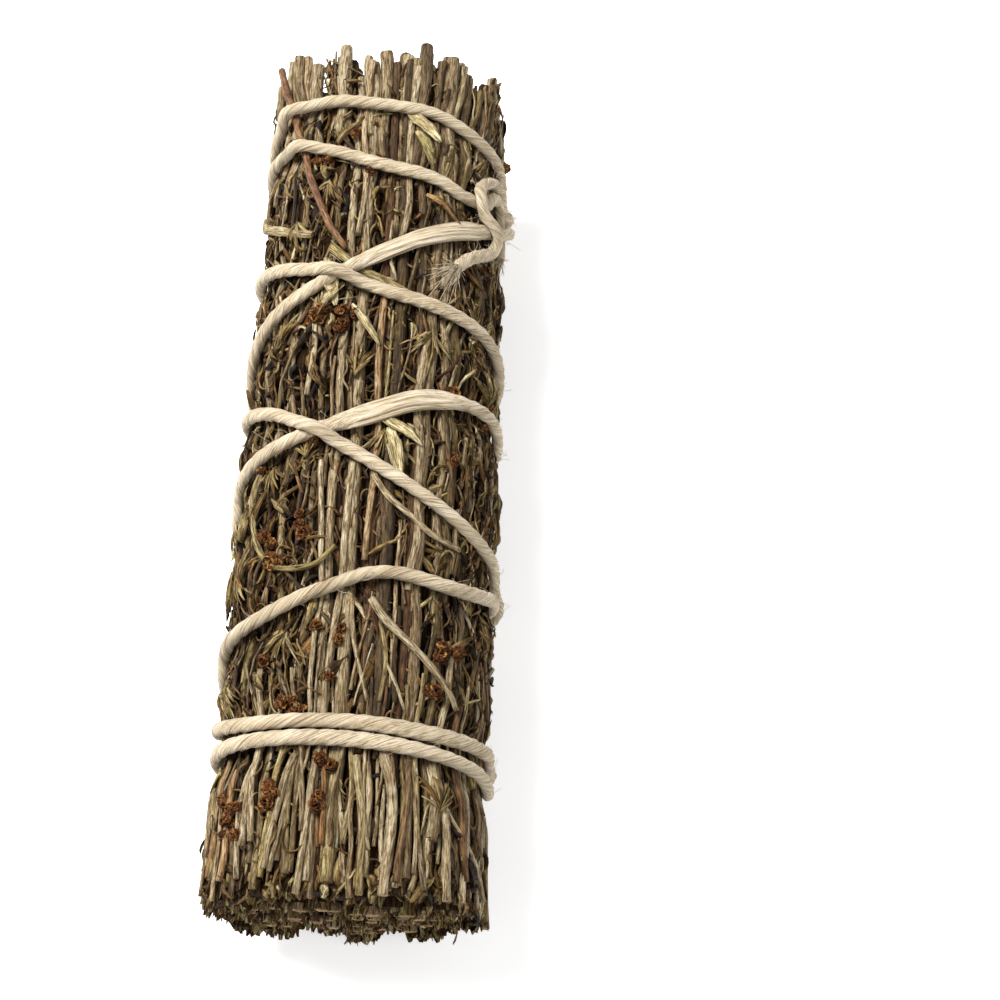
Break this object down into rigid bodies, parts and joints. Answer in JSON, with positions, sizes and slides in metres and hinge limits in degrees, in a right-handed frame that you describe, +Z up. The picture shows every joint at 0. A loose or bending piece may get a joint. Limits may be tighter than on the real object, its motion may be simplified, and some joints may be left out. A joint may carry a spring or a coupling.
{
  "type": "sage smudge stick",
  "caption": "Bundle of dried sage sprigs cut to one length and bound with cotton twine wound down the bundle and back in crossing turns.",
  "frame": {"origin": "centre of the footprint on the surface the bundle lies on", "axes": "+Y along the bundle from its sawn base to its leafy top, +Z up from the surface it lies on, +X to the side where the twine is knotted"},
  "size_m": [0.041, 0.1289, 0.0349],
  "materials": {
    "sprig": "dry leaves and stems, matt",
    "sprig_inside": "dry leaves and stems, matt",
    "twig": "dry bark",
    "red_twig": "smooth dry bark",
    "twine": "undyed cotton, fuzzy"
  },
  "bodies": {
    "root": {"crossing_twig": "twig", "curled_twig": "twig", "diagonal_twig": "twig", "red_stem": "red_twig", "right_twig": "twig", "sprig_heart_1": "sprig_inside", "sprig_heart_2": "sprig_inside", "sprig_inner_01": "sprig_inside", "sprig_inner_02": "sprig_inside", "sprig_inner_03": "sprig_inside", "sprig_inner_04": "sprig_inside", "sprig_inner_05": "sprig_inside", "sprig_inner_06": "sprig_inside", "sprig_inner_07": "sprig_inside", "sprig_inner_08": "sprig_inside", "sprig_inner_09": "sprig_inside", "sprig_middle_01": "sprig_inside", "sprig_middle_02": "sprig_inside", "sprig_middle_03": "sprig_inside", "sprig_middle_04": "sprig_inside", "sprig_middle_05": "sprig_inside", "sprig_middle_06": "sprig_inside", "sprig_middle_07": "sprig_inside", "sprig_middle_08": "sprig_inside", "sprig_middle_09": "sprig_inside", "sprig_middle_10": "sprig_inside", "sprig_middle_11": "sprig_inside", "sprig_middle_12": "sprig_inside", "sprig_middle_13": "sprig_inside", "sprig_middle_14": "sprig_inside", "sprig_middle_15": "sprig_inside", "sprig_middle_16": "sprig_inside", "sprig_middle_17": "sprig_inside", "sprig_outer_01": "sprig", "sprig_outer_02": "sprig", "sprig_outer_03": "sprig", "sprig_outer_04": "sprig", "sprig_outer_05": "sprig", "sprig_outer_06": "sprig", "sprig_outer_07": "sprig", "sprig_outer_08": "sprig", "sprig_outer_09": "sprig", "sprig_outer_10": "sprig", "sprig_outer_11": "sprig", "sprig_outer_12": "sprig", "sprig_outer_13": "sprig", "sprig_outer_14": "sprig", "sprig_outer_15": "sprig", "sprig_outer_16": "sprig", "sprig_outer_17": "sprig", "sprig_outer_18": "sprig", "sprig_outer_19": "sprig", "sprig_outer_20": "sprig", "sprig_outer_21": "sprig", "sprig_outer_22": "sprig", "sprig_outer_23": "sprig", "sprig_outer_24": "sprig", "twine": "twine"}
  },
  "joints": []
}
